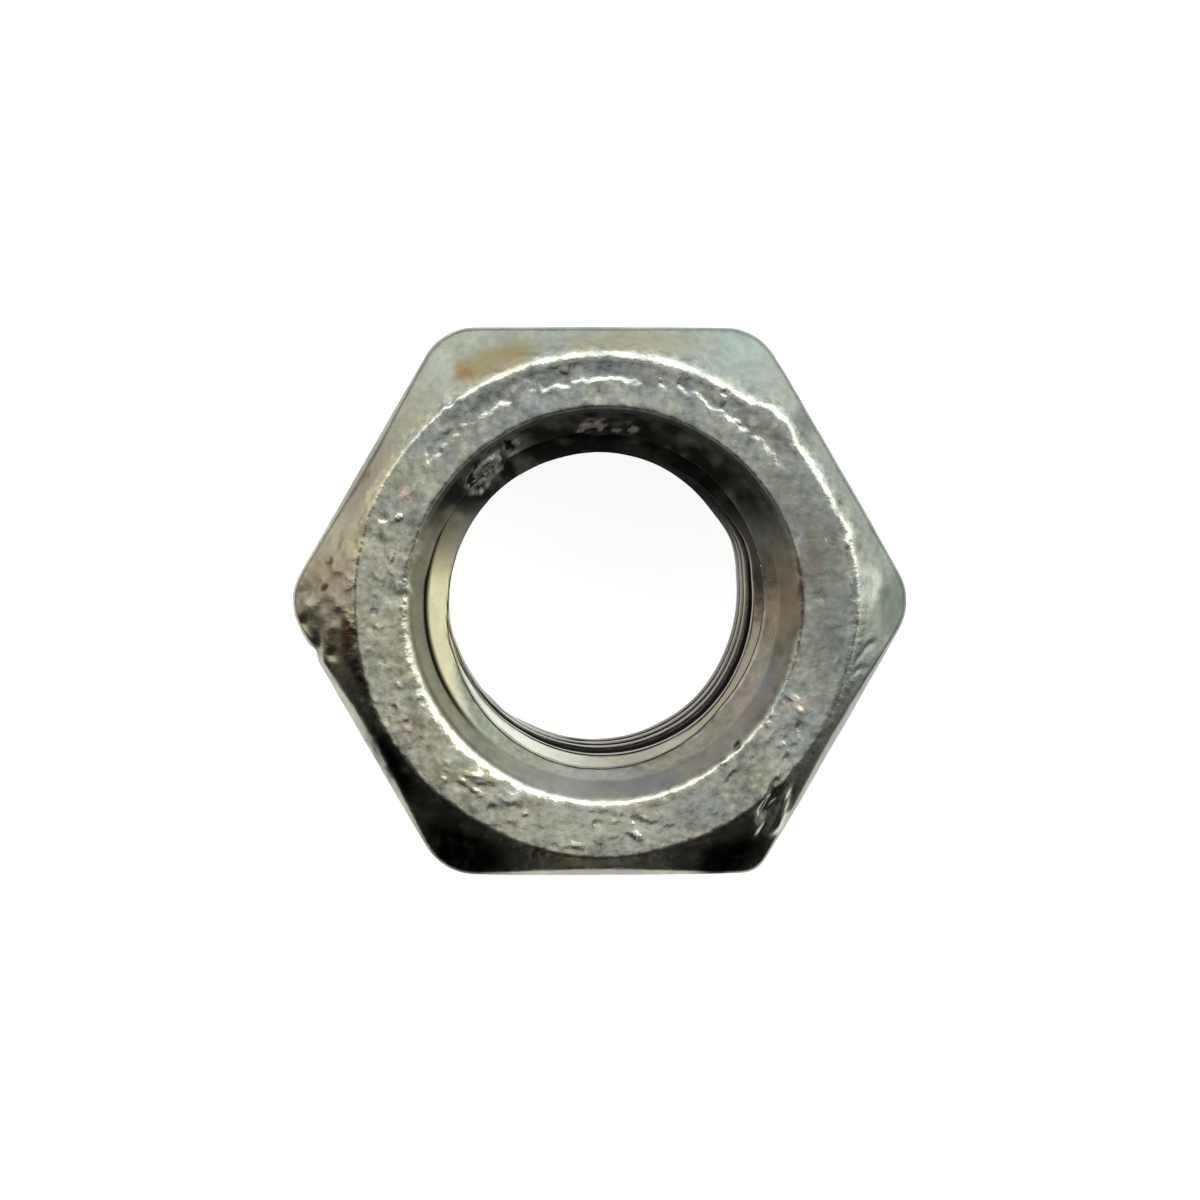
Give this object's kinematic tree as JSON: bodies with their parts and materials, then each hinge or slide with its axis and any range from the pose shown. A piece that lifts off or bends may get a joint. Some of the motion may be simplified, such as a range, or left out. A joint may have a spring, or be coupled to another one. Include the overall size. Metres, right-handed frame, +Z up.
{
  "type": "hex nut",
  "caption": "Plain zinc-plated steel hexagon nut with a tapped through bore, countersunk and chamfered on both faces.",
  "frame": {"origin": "On the axis of the bore, at the lower bearing face, so the nut stands on z = 0", "axes": "+Z runs up along the bore to the upper bearing face; +X points at a corner of the hexagon; +Y points squarely out of a flat"},
  "size_m": [0.0202, 0.018, 0.0108],
  "materials": {
    "zinc_plated_steel": "bright zinc plate, tumbled and lightly worn"
  },
  "bodies": {
    "root": {"hex_nut": "zinc_plated_steel"}
  },
  "joints": []
}
